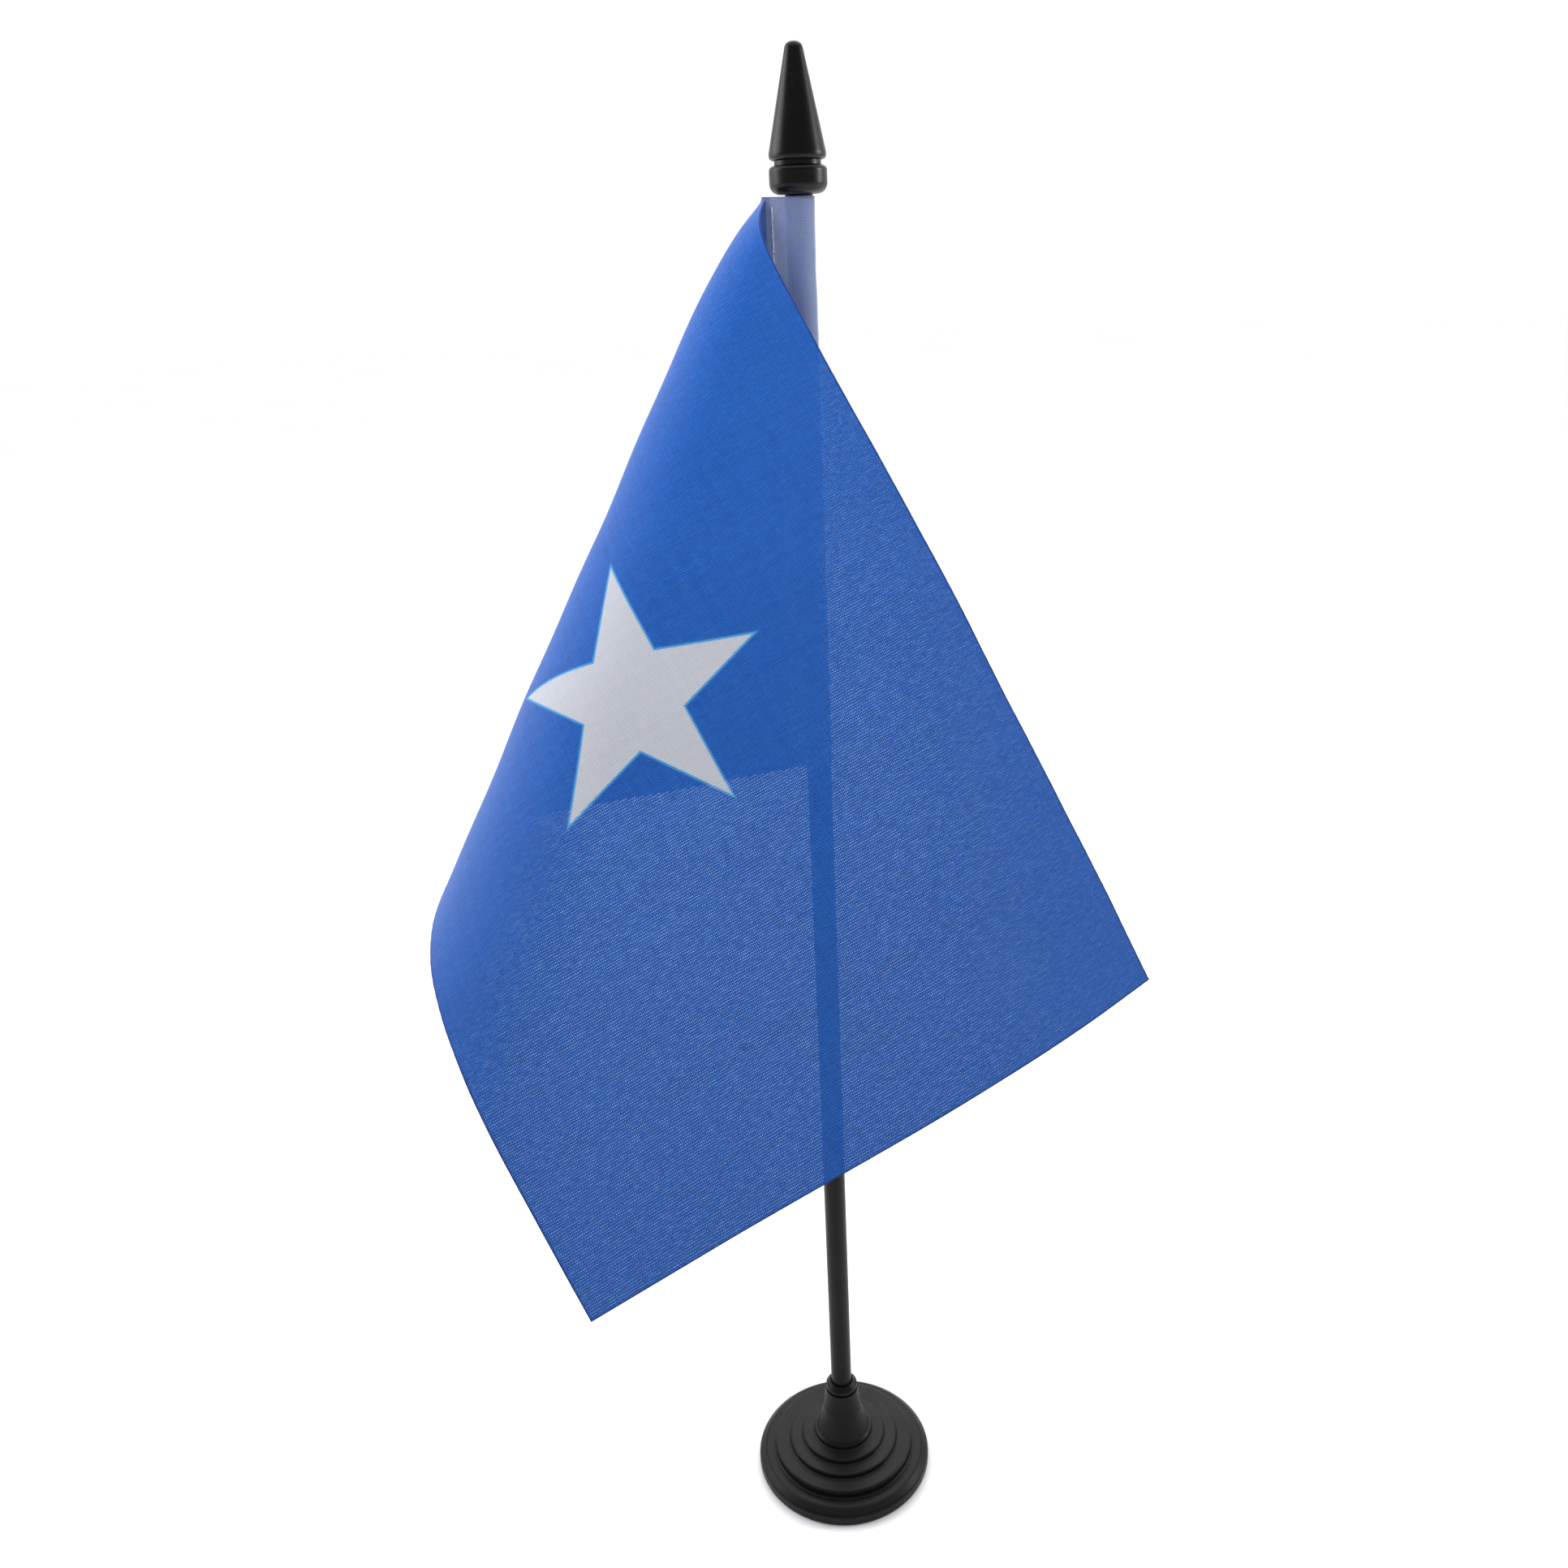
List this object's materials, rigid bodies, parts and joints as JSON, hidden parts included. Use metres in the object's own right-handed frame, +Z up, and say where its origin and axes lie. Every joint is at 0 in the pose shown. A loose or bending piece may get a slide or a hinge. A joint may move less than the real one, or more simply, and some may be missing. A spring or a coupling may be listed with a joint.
{
  "type": "desk flag stand",
  "caption": "Small cloth flag on a round rod that pushes into a stepped round plastic base, with a pointed finial and a sewn pole sleeve.",
  "frame": {"origin": "centre of the base's underside, on the surface it stands on", "axes": "+Z up along the rod; the flag's seam is on the -X side and the flag's printed face looks towards -Y"},
  "size_m": [0.1584, 0.1478, 0.4151],
  "materials": {
    "base_plastic": "moulded black, satin",
    "rod_plastic": "extruded black, satin",
    "finial_plastic": "moulded black, glossy",
    "sleeve_cloth": "thin white plain weave, sewn",
    "flag_cloth": "thin plain weave, printed blue with one white star",
    "thread": "white sewing thread"
  },
  "bodies": {
    "base": {"base": "base_plastic"},
    "rod": {"rod": "rod_plastic"},
    "finial": {"finial": "finial_plastic"},
    "flag": {"sleeve": "sleeve_cloth", "flag": "flag_cloth", "seam_thread": "thread"}
  },
  "joints": [
    {"name": "rod_pull", "type": "slide", "parent": "base", "child": "rod", "axis": [0, 0, 1], "range_m": [0, 0.03]},
    {"name": "finial_pull", "type": "slide", "parent": "rod", "child": "finial", "axis": [0, 0, 1], "range_m": [0, 0.014]},
    {"name": "flag_turn", "type": "hinge", "parent": "rod", "child": "flag", "pos_m": [0, 0, 0.383], "axis": [0, 0, 1], "continuous": true}
  ]
}
